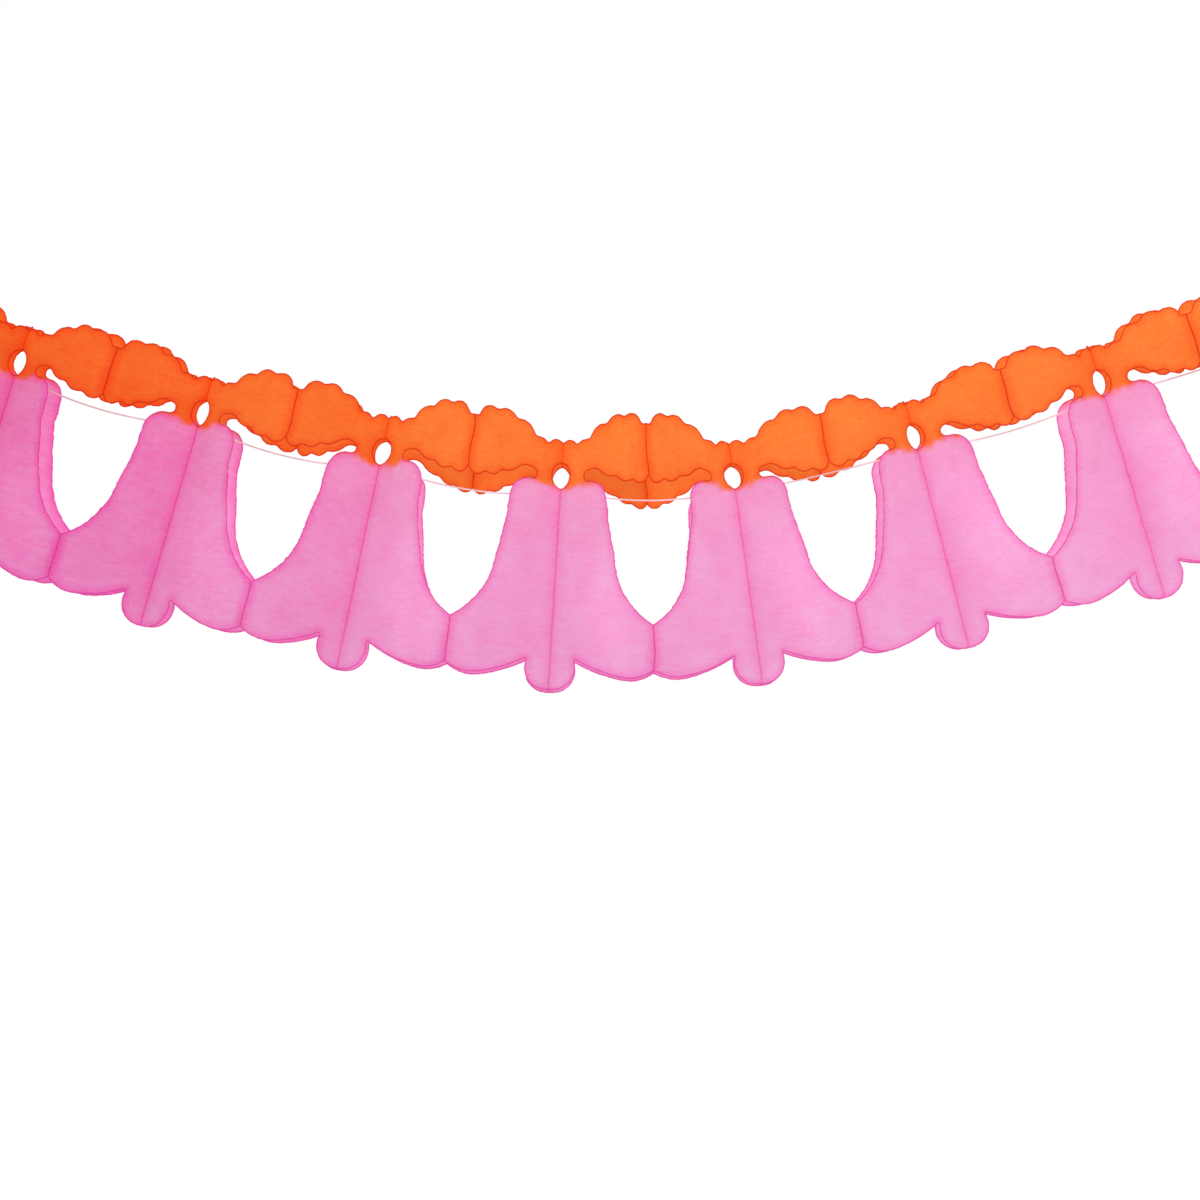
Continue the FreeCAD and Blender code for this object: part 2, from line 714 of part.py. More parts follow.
def check(parts):
    """Every object of the document is up to date, and every sub-part is a sound solid."""
    doc.recompute()
    for item in doc.Objects:
        if "Invalid" in item.State or "Error" in item.State:
            raise RuntimeError(f"{item.Name} failed: {item.State}")
    for item in parts:
        shape = item.Shape
        if shape.isNull() or not shape.isValid() or len(shape.Solids) != 1 or shape.Volume <= 0:
            raise RuntimeError(f"{item.Label} is not a sound solid")


def write(parts):
    os.makedirs("parts", exist_ok=True)
    for item in parts:
        item.Shape.exportStep(f"parts/{item.Label}.step")


parts = []
for cell in range(1, CELLS + 1):
    parts.append(add_sheet(cell, 1, f"cell_{cell}_left_sheet"))
    parts.append(add_sheet(cell, -1, f"cell_{cell}_right_sheet"))
parts.append(add_card(0, -1, "left_end_card"))
parts.append(add_card(CELLS, 1, "right_end_card"))
parts.append(add_thread("thread"))
for hand, name in ((-1, "left"), (1, "right")):
    parts.append(add_whipping(hand, f"{name}_loop_whipping"))
    parts.append(add_stop_knot(hand, f"{name}_stop_knot"))
check(parts)
write(parts)
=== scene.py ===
"""Looks of the paper bell garland: dyed tissue sheets, end cards and thread.

The sheet's own sizes are in millimetres, as it lies flat; what is placed in the scene is in metres.
"""
import math

import bpy
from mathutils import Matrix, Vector, noise
from mathutils.geometry import delaunay_2d_cdt
from mathutils.kdtree import KDTree


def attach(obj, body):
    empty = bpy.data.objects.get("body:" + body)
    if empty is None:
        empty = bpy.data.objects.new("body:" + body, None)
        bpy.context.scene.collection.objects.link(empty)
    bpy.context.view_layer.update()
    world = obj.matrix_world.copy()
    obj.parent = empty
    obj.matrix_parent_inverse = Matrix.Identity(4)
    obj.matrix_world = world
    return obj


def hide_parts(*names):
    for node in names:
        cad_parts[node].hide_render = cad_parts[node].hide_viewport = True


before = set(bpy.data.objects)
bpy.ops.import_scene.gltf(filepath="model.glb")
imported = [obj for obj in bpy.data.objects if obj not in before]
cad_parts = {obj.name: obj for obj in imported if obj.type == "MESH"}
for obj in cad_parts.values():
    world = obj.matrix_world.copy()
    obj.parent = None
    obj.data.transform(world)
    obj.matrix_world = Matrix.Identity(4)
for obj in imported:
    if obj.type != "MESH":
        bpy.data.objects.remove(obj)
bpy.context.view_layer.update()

MM = 0.001
TOUCH = 1e-3
FRONT = -1
BACK = 1

# ---- sizes of the flat sheet, as in the part's source ------------------------------------

DIE = {
    "strip_half_width": 6.8, "half_width": 73.8, "seam_flange": 1.6,
    "eye_half_width": 13.5, "eye_half_height": 9.0, "eye_rise": 1.3,
    "strip_crown": 24.5, "fold_top": 22.0, "bump_rise": 2.8,
    "notch_out": 17.7, "notch_up": 19.7, "step_width": 3.4, "step_length": 6.8, "step_up": 22.6,
    "lobe_rise": 3.3, "outer_lobe_rise": 4.1, "valley_inner_up": 29.8, "valley_outer_up": 32.2,
    "corner_up": 26.3, "corner_inset": 3.6, "seam_top": 26.4,
    "seam_foot": -3.6, "hem_outer_up": -4.6, "hem_inner_up": -1.9,
    "hem_outer_rise": 3.7, "hem_middle_rise": 2.7, "hem_inner_rise": 1.6,
    "slot_mouth_out": 38.2, "slot_mouth_up": 1.4, "slot_end_out": 28.5,
    "slot_top_up": 3.0, "slot_foot_up": -3.3, "slot_crown_rise": 1.4, "slot_round_rise": 3.7,
    "shoulder_out": 42.8, "shoulder_foot": -17.4, "shoulder_rise": 4.7,
    "tuck_up": -24.2, "tuck_depth": 0.9, "waist_out": 50.2, "waist_up": -62.0, "flare_sag": 3.7,
    "lip_top": -90.6, "lip_foot": -118.4, "lip_low_out": 53.5, "lip_low_up": -123.4,
    "lip_outer_rise": 2.1, "lip_inner_rise": 1.5,
    "clapper_top_out": 22.0, "clapper_top_up": -112.4, "clapper_side_rise": 2.7,
    "clapper_low_out": 18.5, "clapper_low_up": -128.6, "clapper_lobe_out": 9.0,
    "clapper_foot": -132.0,
    "least_cell_depth": 3.0, "lip_lean": 1.5, "flop_peak_up": -28.0, "flop_half_reach": 38.0,
}
HALF_PAIR = 0.2
HALF_GLUE = 0.005
THREAD_DIAMETER = 1.0
THREAD_CLEARANCE = 0.1
LOOP_TO_CARD = 46.0
LOOP_SLOPE = 20.0

CELL_SLOPES = [16.9, 15.5, 12.4, 8.0, -0.2, -12.6, -16.3, -17.0]
CELL_OPENINGS = [27.8, 28.8, 31.9, 33.4, 37.3, 31.5, 26.4, 26.6]
CELL_LEANS = [-1.5, -1.0, 3.0, 9.8, 12.5, 4.0, 0.0, -1.5]
BELL_TILTS = [17.2, 17.2, 16.3, 11.9, 3.5, -8.0, -14.7, -16.8, -17.2]
BELL_STRETCHES = [1.0, 1.03, 1.03, 1.03, 0.995, 0.975, 1.015, 1.045, 1.0]
BELL_LEANS = [0.0, -3.0, -0.5, 5.0, 9.0, 5.5, 0.0, -3.0, 0.0]
BELL_TURNS = [0.0, 5.0, 6.0, 4.0, 1.0, -3.0, -6.0, -5.0, 0.0]
# Painted shade: how far each cell's tissue is darkened towards the deep colours, most at the left end,
# where less light falls.
LEFT_CELL_SHADES = [0.38, 0.31, 0.17, 0.05, 0.0, 0.0, 0.0, 0.0]
BELL_FLOPS = [11.0, 12.0, 9.5, 4.0, 0.0, 0.0, 7.0, 11.0, 11.0]

THREAD_SAGS = [
    (3.0, 4.0, 2.8), (5.0, 6.6, 4.6), (4.8, 6.8, 5.3), (5.0, 6.9, 5.6),
    (4.2, 6.1, 4.6), (2.4, 2.0, 1.2), (3.6, 5.2, 3.4), (2.0, 2.1, 1.5),
]
THREAD_LIFTS = [1.0, 1.15, 1.3, 0.95, 0.3, 0.5, 0.75]
LOOP_ROUTE = [
    (12.5, 0.6), (6.5, 0.6), (2.5, 5.2), (-3.6, 5.4), (-7.2, 0.2),
    (-3.6, -5.3), (2.5, -5.1), (6.5, -0.6), (13.0, -0.6), (24.0, -0.4), (35.0, 0.3),
]

CELLS = len(CELL_SLOPES)
FOLD = DIE["strip_half_width"]
SEAM = DIE["half_width"]
FLANGE = SEAM + DIE["seam_flange"]
ARM = SEAM - FOLD


def in_scene(name, data):
    """New object with this data, linked to the scene."""
    thing = bpy.data.objects.new(name, data)
    bpy.context.scene.collection.objects.link(thing)
    return thing


# ---- where the folds and seams lie, in millimetres ------------------------------------------

def radians_of(values, index):
    return math.radians(values[index])


def upward(bell):
    """Direction of a bell's centre fold, from its clapper to its top."""
    tilt = radians_of(BELL_TILTS, bell)
    return Vector((math.sin(tilt), 0, math.cos(tilt)))


def strip_directions(bell):
    """Directions square to a bell's centre strip and along it from front to back."""
    tilt, turn = radians_of(BELL_TILTS, bell), radians_of(BELL_TURNS, bell)
    level = Vector((math.cos(tilt), 0, -math.sin(tilt)))
    across = level * math.cos(turn) - Vector((0, math.sin(turn), 0))
    backward = level * math.sin(turn) + Vector((0, math.cos(turn), 0))
    return across, backward


def fan_of(cell):
    """Half the angle between the two bells beside a cell."""
    return (radians_of(BELL_TILTS, cell - 1) - radians_of(BELL_TILTS, cell)) / 2


def thread_level(bell):
    """Height of the thread over the datum of a bell: it lies in the foot of the eye."""
    foot = (DIE["eye_rise"] - DIE["eye_half_height"]) * BELL_STRETCHES[bell]
    return foot + THREAD_DIAMETER / 2 + THREAD_CLEARANCE


def eye_centres():
    """The datum point of each bell, hung one after the other from the left loop."""
    slope = math.radians(LOOP_SLOPE)
    card_hole = Vector((math.cos(slope), 0, -math.sin(slope))) * LOOP_TO_CARD
    centres = [card_hole - upward(0) * thread_level(0)]
    for cell in range(1, CELLS + 1):
        slope = radians_of(CELL_SLOPES, cell - 1)
        opening = radians_of(CELL_OPENINGS, cell - 1)
        pitch = 2 * ARM * math.cos(opening) * math.cos(fan_of(cell)) + 2 * HALF_PAIR
        centres.append(centres[-1] + Vector((math.cos(slope), 0, -math.sin(slope))) * pitch)
    return centres


EYES = eye_centres()


def lean(top_lean, level):
    """Lean of a seam at a level: its own at the top, and the same for all at the lips."""
    share = (DIE["seam_top"] - level) / (DIE["seam_top"] - DIE["lip_foot"])
    return top_lean + (math.radians(DIE["lip_lean"]) - top_lean) * share


def strip_fold(bell, hand, side, level):
    """Point on the front or back fold of a centre strip."""
    across, backward = strip_directions(bell)
    rise = level * BELL_STRETCHES[bell] - side * FOLD * math.tan(radians_of(BELL_LEANS, bell))
    return EYES[bell] + upward(bell) * rise + across * (hand * HALF_PAIR) + backward * (side * FOLD)


def seam(cell, side, level):
    """Point on the seam of a cell, as far out as the arms on both sides of it reach."""
    left = strip_fold(cell - 1, 1, side, level)
    right = strip_fold(cell, -1, side, level)
    fan = fan_of(cell)
    half_gap = (right - left).length / 2
    reach = half_gap / math.cos(fan)
    depth = math.sqrt(max(ARM ** 2 - reach ** 2, DIE["least_cell_depth"] ** 2))
    lift = depth * math.tan(lean(radians_of(CELL_LEANS, cell - 1), level))
    chord = (right - left).normalized()
    sunk = Vector((chord.z, 0, -chord.x)) * (half_gap * math.tan(fan) / 2)
    return (left + right) * 0.5 + sunk + Vector((0, side * depth, -side * lift))


def seam_fold(cell, hand, side, level):
    """Point where one sheet's arm turns into its glue flange."""
    left = strip_fold(cell - 1, 1, side, level)
    right = strip_fold(cell, -1, side, level)
    return seam(cell, side, level) - (right - left).normalized() * (hand * HALF_PAIR)


def flange_edge(cell, hand, side, level):
    """Point on the outer edge of a glue flange."""
    lift = math.tan(lean(radians_of(CELL_LEANS, cell - 1), level))
    outward = Vector((0, side, -side * lift)).normalized()
    return seam_fold(cell, hand, side, level) + outward * DIE["seam_flange"]


def arm_pole(cell, hand, side, level):
    """Middle pole of an arm's bow: on its chord, or away from the cell where the arm flops over."""
    bell = cell - 1 if hand > 0 else cell
    fold = strip_fold(bell, hand, side, level)
    glued = seam_fold(cell, hand, side, level)
    middle = (fold + glued) * 0.5
    if hand * BELL_TILTS[bell] <= 0 or BELL_FLOPS[bell] == 0:
        return middle
    outward = (glued - fold).cross(upward(bell)).normalized()
    from_cell = Vector((0, side, 0)) - strip_directions(bell)[0] * hand
    if outward.dot(from_cell) < 0:
        outward = -outward
    share = 1 / (1 + ((level - DIE["flop_peak_up"]) / DIE["flop_half_reach"]) ** 2)
    return middle + outward * (2 * BELL_FLOPS[bell] * share)


# ---- camera ---------------------------------------------------------------------------------

VIEW_CENTRE = Vector((0.5189, 0.0, -0.1893))
VIEW_DISTANCE = 3.2
VIEW_WIDTH = 0.7451
SENSOR_WIDTH = 36.0


def make_camera():
    data = bpy.data.cameras.new("camera")
    data.sensor_width = SENSOR_WIDTH
    data.lens = SENSOR_WIDTH * VIEW_DISTANCE / VIEW_WIDTH
    data.clip_end = 50.0
    camera = in_scene("camera", data)
    camera.location = VIEW_CENTRE + Vector((0, -VIEW_DISTANCE, 0))
    camera.rotation_euler = (math.radians(90), 0, 0)
    bpy.context.scene.camera = camera


make_camera()


# ---- thread -----------------------------------------------------------------------------------

def thread_at(bell):
    """Point where the thread passes through a bell's eye."""
    return EYES[bell] + upward(bell) * thread_level(bell)


def loop_points(hand):
    """Route of one hanging loop, from its tail to the thread."""
    slope = math.radians(LOOP_SLOPE)
    inward = Vector((-hand * math.cos(slope), 0, -math.sin(slope)))
    middle = thread_at(0 if hand < 0 else CELLS) - inward * LOOP_TO_CARD
    rising = Vector((hand * inward.z, 0, -hand * inward.x))
    return [middle + inward * along + rising * up for along, up in LOOP_ROUTE]


def thread_points():
    """Control points of the whole thread, from the left loop's tail to the right one's."""
    points = loop_points(-1) + [thread_at(0)]
    lifts = THREAD_LIFTS + [0.0]
    for cell, sags in enumerate(THREAD_SAGS, start=1):
        start, end = thread_at(cell - 1), thread_at(cell)
        for quarter, sag in enumerate(sags, start=1):
            points.append(start + (end - start) * (quarter / 4) - Vector((0, 0, sag)))
        points.append(end + Vector((0, 0, lifts[cell - 1])))
    return points + loop_points(1)[::-1]


def make_thread():
    points = [point * MM for point in thread_points()]
    curve = bpy.data.curves.new("garland_thread", "CURVE")
    curve.dimensions = "3D"
    curve.resolution_u = 8
    curve.bevel_depth = 1.0
    curve.bevel_resolution = 3
    curve.use_fill_caps = True
    spline = curve.splines.new("NURBS")
    spline.points.add(len(points) - 1)
    for control, point in zip(spline.points, points):
        control.co = (*point, 1.0)
        control.radius = THREAD_DIAMETER * MM / 2
    spline.order_u = 3
    spline.use_endpoint_u = True
    thread = in_scene("garland_thread", curve)
    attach(thread, "root")
    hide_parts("thread")
    knots = [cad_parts[name] for name in
             ("left_loop_whipping", "left_stop_knot", "right_loop_whipping", "right_stop_knot")]
    return thread, knots


thread, knots = make_thread()


# ---- the flat sheet as a fine mesh --------------------------------------------------------------

EDGE_STEP = 0.9
GRID_STEP = 1.7
INNER_RING = 0.85
RING_CLEARANCE = 0.8 * INNER_RING
GRID_CLEARANCE = INNER_RING + 0.55 * GRID_STEP
ROUNDING = 5


def bow(start, end, rise, step=EDGE_STEP):
    """Points of an arc from start up to, not including, end; it stands `rise` to the left of its chord."""
    start, end = Vector(start), Vector(end)
    along = (end - start).normalized()
    left = Vector((-along.y, along.x))
    half = (end - start).length / 2
    if rise == 0:
        count = max(1, round(2 * half / step))
        return [start + (end - start) * (i / count) for i in range(count)]
    radius = (half ** 2 + rise ** 2) / (2 * rise)
    half_angle = math.asin(min(1.0, half / abs(radius)))
    if abs(rise) > half:
        half_angle = math.pi - half_angle
    centre = (start + end) / 2 + left * (rise - radius)
    count = max(2, round(2 * half_angle * abs(radius) / step))
    points = []
    for i in range(count):
        turn = half_angle * (2 * i / count - 1)
        points.append(centre + left * (radius * math.cos(turn)) + along * (abs(radius) * math.sin(turn)))
    return points


def eye_level(out, sign):
    """Upper (sign 1) or lower (sign -1) edge of the eye at a distance from the centre line."""
    share = math.sqrt(1 - (out / DIE["eye_half_width"]) ** 2)
    return DIE["eye_rise"] + sign * DIE["eye_half_height"] * share


def clapper_level(out):
    """Lower edge of a half of the clapper: one arc, lowest a little way out from the fold."""
    drop = DIE["clapper_low_up"] - DIE["clapper_foot"]
    reach = DIE["clapper_low_out"] - DIE["clapper_lobe_out"]
    radius = (reach ** 2 + drop ** 2) / (2 * drop)
    return DIE["clapper_foot"] + radius - math.sqrt(radius ** 2 - (out - DIE["clapper_lobe_out"]) ** 2)


def flap_top():
    """Scalloped upper edge, from the centre fold out to the seam."""
    notch = (DIE["notch_out"], DIE["notch_up"])
    step_start = (notch[0] + DIE["step_width"], DIE["step_up"])
    step_end = (step_start[0] + DIE["step_length"], DIE["step_up"])
    corner = (SEAM - DIE["corner_inset"], DIE["corner_up"])
    lobe = (corner[0] - step_end[0]) / 3
    inner = (step_end[0] + lobe, DIE["valley_inner_up"])
    outer = (step_end[0] + 2 * lobe, DIE["valley_outer_up"])
    return [
        *bow((FOLD, DIE["fold_top"]), notch, DIE["bump_rise"]),
        *bow(notch, step_start, 0), *bow(step_start, step_end, 0),
        *bow(step_end, inner, DIE["lobe_rise"]), *bow(inner, outer, DIE["lobe_rise"]),
        *bow(outer, corner, DIE["outer_lobe_rise"]), *bow(corner, (SEAM, DIE["seam_top"]), 0),
    ]


def flange_rim(top, foot):
    """Three sides of a glue flange, from its top corner on the seam to its foot."""
    corners = [(SEAM, DIE[top]), (FLANGE, DIE[top]), (FLANGE, DIE[foot]), (SEAM, DIE[foot])]
    return [point for ends in zip(corners, corners[1:]) for point in bow(*ends, 0)]


def hem_and_slot():
    """Scalloped lower edge of the flap, from the seam in to the round end of the slot."""
    mouth = (DIE["slot_mouth_out"], DIE["slot_mouth_up"])
    width = (SEAM - mouth[0]) / 3
    outer = (SEAM - width, DIE["hem_outer_up"])
    inner = (SEAM - 2 * width, DIE["hem_inner_up"])
    slot_top = (DIE["slot_end_out"], DIE["slot_top_up"])
    slot_foot = (DIE["slot_end_out"], DIE["slot_foot_up"])
    return [
        *bow((SEAM, DIE["seam_foot"]), outer, DIE["hem_outer_rise"]),
        *bow(outer, inner, DIE["hem_middle_rise"]), *bow(inner, mouth, DIE["hem_inner_rise"]),
        *bow(mouth, slot_top, -DIE["slot_crown_rise"]), *bow(slot_top, slot_foot, -DIE["slot_round_rise"]),
    ]


def bell_side():
    """Shoulder, side and flare of the bell, from the slot out to the seam of the lip."""
    shoulder = (DIE["shoulder_out"], DIE["shoulder_foot"])
    tuck = (shoulder[0] + DIE["tuck_depth"], DIE["tuck_up"])
    tucked = (shoulder[0], tuck[1] - DIE["tuck_depth"])
    waist = (DIE["waist_out"], DIE["waist_up"])
    return [
        *bow((DIE["slot_end_out"], DIE["slot_foot_up"]), shoulder, DIE["shoulder_rise"]),
        *bow(shoulder, tuck, 0), *bow(tuck, tucked, 0), *bow(tucked, waist, 0),
        *bow(waist, (SEAM, DIE["lip_top"]), -DIE["flare_sag"]),
    ]


def lip_and_clapper():
    """Lower edge, from the seam of the lip in to the centre fold."""
    lowest = (DIE["lip_low_out"], DIE["lip_low_up"])
    notch = (DIE["clapper_top_out"], DIE["clapper_top_up"])
    low = (DIE["clapper_low_out"], DIE["clapper_low_up"])
    count = round((low[0] - FOLD) / EDGE_STEP)
    sole = [low[0] + (FOLD - low[0]) * i / count for i in range(count)]
    return [
        *bow((SEAM, DIE["lip_foot"]), lowest, DIE["lip_outer_rise"]),
        *bow(lowest, notch, DIE["lip_inner_rise"]), *bow(notch, low, DIE["clapper_side_rise"]),
        *(Vector((out, clapper_level(out))) for out in sole),
    ]


def mirrored(points):
    """The same points on the other half of the sheet, in the opposite order."""
    return [Vector((-point.x, point.y)) for point in reversed(points)]


def softened(points):
    """The outline with its points and cusps worn round, as the die cuts soft tissue; creases stay put."""
    for _ in range(ROUNDING):
        middles = [(before + after) / 2 for before, after in zip(points, points[2:])]
        points = points[:1] + [
            point if min(abs(point.x - FOLD), abs(point.x - SEAM)) < TOUCH or point.x > SEAM
            else point * 0.5 + middle * 0.5
            for point, middle in zip(points[1:-1], middles)] + points[-1:]
    return points


def sheet_rim():
    """Closed outline of the whole sheet; front half on negative out, back half on positive."""
    half = softened(
        flap_top() + flange_rim("seam_top", "seam_foot") + hem_and_slot() + bell_side()
        + flange_rim("lip_top", "lip_foot") + lip_and_clapper())
    foot = Vector((FOLD, clapper_level(FOLD)))
    top = Vector((FOLD, DIE["fold_top"]))
    sole = bow(foot, (-foot.x, foot.y), foot.y - DIE["clapper_foot"])
    crown = bow((-top.x, top.y), top, DIE["strip_crown"] - top.y)
    return half + sole + [Vector((-foot.x, foot.y))] + mirrored(half)[:-1] + crown


def eye_rim():
    """Closed outline of the eye."""
    low, high = Vector((FOLD, eye_level(FOLD, -1))), Vector((FOLD, eye_level(FOLD, 1)))
    bite = bow(low, high, -(DIE["eye_half_width"] - FOLD))
    above = bow(high, (-high.x, high.y), -(eye_level(0, 1) - high.y))
    opposite = bow((-high.x, high.y), (-low.x, low.y), -(DIE["eye_half_width"] - FOLD))
    below = bow((-low.x, low.y), low, -(low.y - eye_level(0, -1)))
    return bite + above + opposite + below


def crease_lines():
    """Chains of points along the folds of the centre strip and along both seams, on both sides."""
    lines = []
    for side in (FRONT, BACK):
        for out, top, foot in (
                (FOLD, DIE["fold_top"], eye_level(FOLD, 1)),
                (FOLD, eye_level(FOLD, -1), clapper_level(FOLD)),
                (SEAM, DIE["seam_top"], DIE["seam_foot"]),
                (SEAM, DIE["lip_top"], DIE["lip_foot"])):
            end = Vector((side * out, foot))
            lines.append(bow((side * out, top), end, 0, GRID_STEP) + [end])
    return lines


def crossings(rings, level):
    """Where a level line enters and leaves the area between closed rings."""
    found = []
    for ring in rings:
        for start, end in zip(ring, ring[1:] + ring[:1]):
            if (start.y > level) != (end.y > level):
                found.append(start.x + (level - start.y) / (end.y - start.y) * (end.x - start.x))
    found.sort()
    return list(zip(found[::2], found[1::2]))


def inner_ring(ring):
    """Points a little inside the rim of the tissue, square to each of the rim's points."""
    points = []
    for before, point, after in zip(ring[-1:] + ring[:-1], ring, ring[1:] + ring[:1]):
        along = (after - before).normalized()
        points.append(point + Vector((along.y, -along.x)) * INNER_RING)
    return points


def flat_sheet():
    """Triangulated flat sheet: its points, its faces and each point's distance from a cut edge."""
    rim, eye = sheet_rim(), eye_rim()
    points, edges = [], []
    for chain, closed in [(rim, True), (eye, True)] + [(line, False) for line in crease_lines()]:
        first = len(points)
        points += chain
        edges += [(i, i + 1) for i in range(first, len(points) - 1)]
        if closed:
            edges.append((len(points) - 1, first))
    cut_count = len(rim) + len(eye)
    tree = KDTree(len(points))
    for index, point in enumerate(points):
        tree.insert((point.x, point.y, 0), index)
    tree.balance()

    def clear(point, gap):
        return tree.find((point.x, point.y, 0))[2] >= gap

    filling = [point for point in inner_ring(rim) + inner_ring(eye) if clear(point, RING_CLEARANCE)]
    row = 0
    level = DIE["clapper_foot"]
    while level < DIE["valley_outer_up"] + DIE["outer_lobe_rise"]:
        for start, end in crossings((rim, eye), level):
            out = math.ceil(start / GRID_STEP) * GRID_STEP + (row % 2) * GRID_STEP / 2
            while out < end:
                point = Vector((out, level))
                if clear(point, GRID_CLEARANCE):
                    filling.append(point)
                out += GRID_STEP
        level += GRID_STEP * math.sqrt(3) / 2
        row += 1
    cut_tree = KDTree(cut_count)
    for index, point in enumerate(points[:cut_count]):
        cut_tree.insert((point.x, point.y, 0), index)
    cut_tree.balance()
    verts, _, faces, _, _, _ = delaunay_2d_cdt(points + filling, edges, [], 1, 1e-4)
    kept = []
    for face in faces:
        middle = sum((verts[i] for i in face), Vector((0, 0))) / len(face)
        if not any(start < middle.x < end for start, end in crossings((eye,), middle.y)):
            kept.append(face)
    cut_distances = [cut_tree.find((vert.x, vert.y, 0))[2] for vert in verts]
    return verts, kept, cut_distances


FLAT_POINTS, FLAT_FACES, CUT_DISTANCES = flat_sheet()


# ---- folded sheets ------------------------------------------------------------------------------

ROW_FOOT = -134
ROW_TOP = 38
WAVER = 1.3
LOWER_WAVER = 0.7 * WAVER
WAVER_LENGTH = 13
BELL_WAIST = -50
POLE_WAVER = 0.2
DECKLE = 0.224
SIDE_DECKLE = 0.352
DECKLE_FADE = 1.5
DECKLE_GRAIN = 0.55
FLAP_HEM_UP = -1.0
FLAP_HEM_SLOPE = 0.35


def smooth(value, low, high):
    """0 below low, 1 above high, eased between them."""
    share = min(max((value - low) / (high - low), 0), 1)
    return share * share * (3 - 2 * share)


def seam_wave(cell, side, level):
    """Sideways waver of a glued seam, common to both of its sheets."""
    place = Vector((level / WAVER_LENGTH, cell * 3.7, side * 5.1))
    return noise.noise(place) * (WAVER if level > BELL_WAIST else LOWER_WAVER)


def level_rows(cell, hand):
    """For every millimetre of level, the fold, pole, seam and flange edge of both arms of a sheet.

    Folds and seams lie closer to the neighbouring sheet than in the part, as glued tissue does.
    """
    bell = cell - 1 if hand > 0 else cell
    across = strip_directions(bell)[0]
    closer = across * (hand * (HALF_PAIR - HALF_GLUE))
    rows = []
    for level in range(ROW_FOOT, ROW_TOP + 1):
        row = {}
        for side in (FRONT, BACK):
            waver = across * seam_wave(cell, side, level)
            at_seam = waver + closer
            row[side] = (
                strip_fold(bell, hand, side, level) - closer,
                arm_pole(cell, hand, side, level) + waver * POLE_WAVER,
                seam_fold(cell, hand, side, level) + at_seam,
                flange_edge(cell, hand, side, level) + at_seam)
        rows.append(row)
    return rows


def placed(rows, out, level):
    """Point of the folded sheet for a point of the flat one."""
    side = FRONT if out < 0 else BACK
    reach = abs(out)
    below = min(max(math.floor(level), ROW_FOOT), ROW_TOP - 1)
    part = level - below
    lower, upper = rows[below - ROW_FOOT], rows[below + 1 - ROW_FOOT]
    if reach <= FOLD:
        front = lower[FRONT][0].lerp(upper[FRONT][0], part)
        back = lower[BACK][0].lerp(upper[BACK][0], part)
        return front.lerp(back, (out + FOLD) / (2 * FOLD))
    fold, pole, glued, edge = (a.lerp(b, part) for a, b in zip(lower[side], upper[side]))
    if reach > SEAM:
        return glued.lerp(edge, (reach - SEAM) / (FLANGE - SEAM))
    share = (reach - FOLD) / ARM
    return fold.lerp(pole, share).lerp(pole.lerp(glued, share), share)


def deckled(point, cut_distance, seed):
    """The flat point moved a little near a cut edge, where the die has left the tissue uneven."""
    slack = smooth(abs(abs(point.x) - FOLD), 0.0, 2.0) * smooth(SEAM - abs(point.x), 0.0, 2.0)
    on_side = smooth(-point.y, 12.0, 20.0) * smooth(point.y, -88.0, -80.0)
    reach = (DECKLE + SIDE_DECKLE * on_side) * slack * math.exp(-cut_distance / DECKLE_FADE)
    place = Vector((point.x * DECKLE_GRAIN, point.y * DECKLE_GRAIN, seed))
    return Vector((point.x + reach * noise.noise(place),
                   point.y + reach * noise.noise(place + Vector((0, 0, 40)))))


def dipped(point):
    """Level the dye counts from; the whole flap, down to its hem, was dyed with the top edge."""
    past_slot = abs(point.x) - DIE["slot_end_out"]
    on_flap = past_slot > 0 and point.y > FLAP_HEM_UP - FLAP_HEM_SLOPE * past_slot
    return DIE["fold_top"] if on_flap else point.y


def wrinkle(out, level, seed):
    """How far the tissue stands off its smooth shape: nothing on folds, seams and the glued strip."""
    reach = abs(out)
    if reach < FOLD or reach > SEAM:
        return 0.0
    free = smooth(reach - FOLD, 0.0, 9.0)
    near_seam = level > DIE["seam_foot"] - 8 or level < DIE["lip_top"] + 8
    if near_seam:
        free *= smooth(SEAM - reach, 0.0, 8.0)
    broad = noise.noise(Vector((out / 21, level / 30, seed)))
    drawn = noise.noise(Vector((out / 6.5, level / 22 + out / 30, seed + 9)))
    crinkle = noise.noise(Vector((out / 3.1, level / 3.4, seed + 17)))
    return free * (1.1 * broad + 0.35 * drawn + 0.07 * crinkle)


